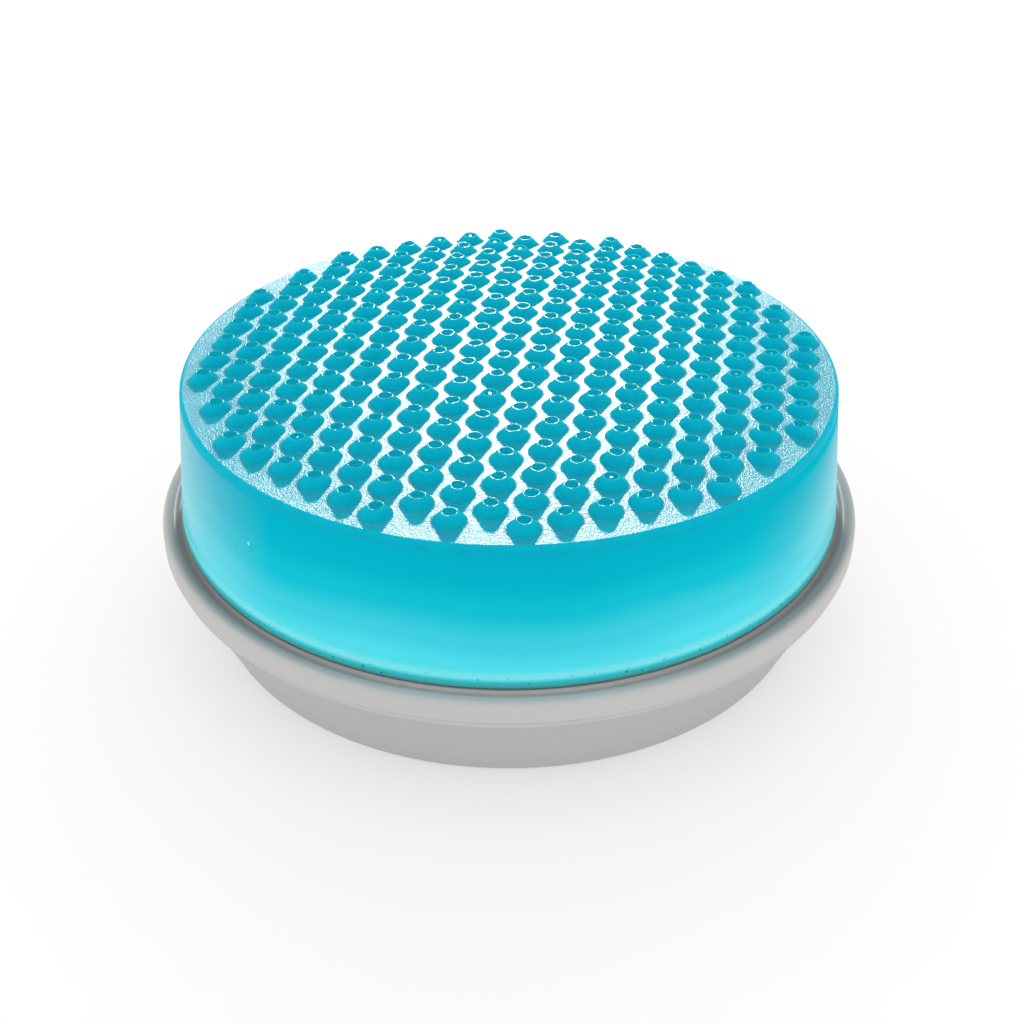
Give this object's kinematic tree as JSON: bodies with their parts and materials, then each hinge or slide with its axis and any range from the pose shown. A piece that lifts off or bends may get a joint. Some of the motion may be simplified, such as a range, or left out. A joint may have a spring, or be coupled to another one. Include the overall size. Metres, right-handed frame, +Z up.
{
  "type": "shaving soap puck",
  "caption": "Round translucent soap puck with a domed, nubbed face, seated in a round white two-part drain dish with a rolled lip and a tapered foot.",
  "frame": {"origin": "centre of the foot's underside, on the surface the dish stands on", "axes": "+Z up along the axis of symmetry, towards the nubbed face; -Y towards the front"},
  "size_m": [0.0704, 0.0704, 0.0287],
  "materials": {
    "soap": "translucent teal, frosted on the face, smooth on the wall",
    "tray_plastic": "satin white, moulded",
    "base_plastic": "satin white, moulded",
    "ring_rubber": "matt, soft"
  },
  "bodies": {
    "base": {"drip_base": "base_plastic", "foot_ring": "ring_rubber"},
    "tray": {"dish_tray": "tray_plastic"},
    "puck": {"soap_puck": "soap"}
  },
  "joints": [
    {"name": "tray_lift", "type": "slide", "parent": "base", "child": "tray", "axis": [0, 0, 1], "range_m": [0, 0.03]},
    {"name": "puck_lift", "type": "slide", "parent": "tray", "child": "puck", "axis": [0, 0, 1], "range_m": [0, 0.03]}
  ]
}
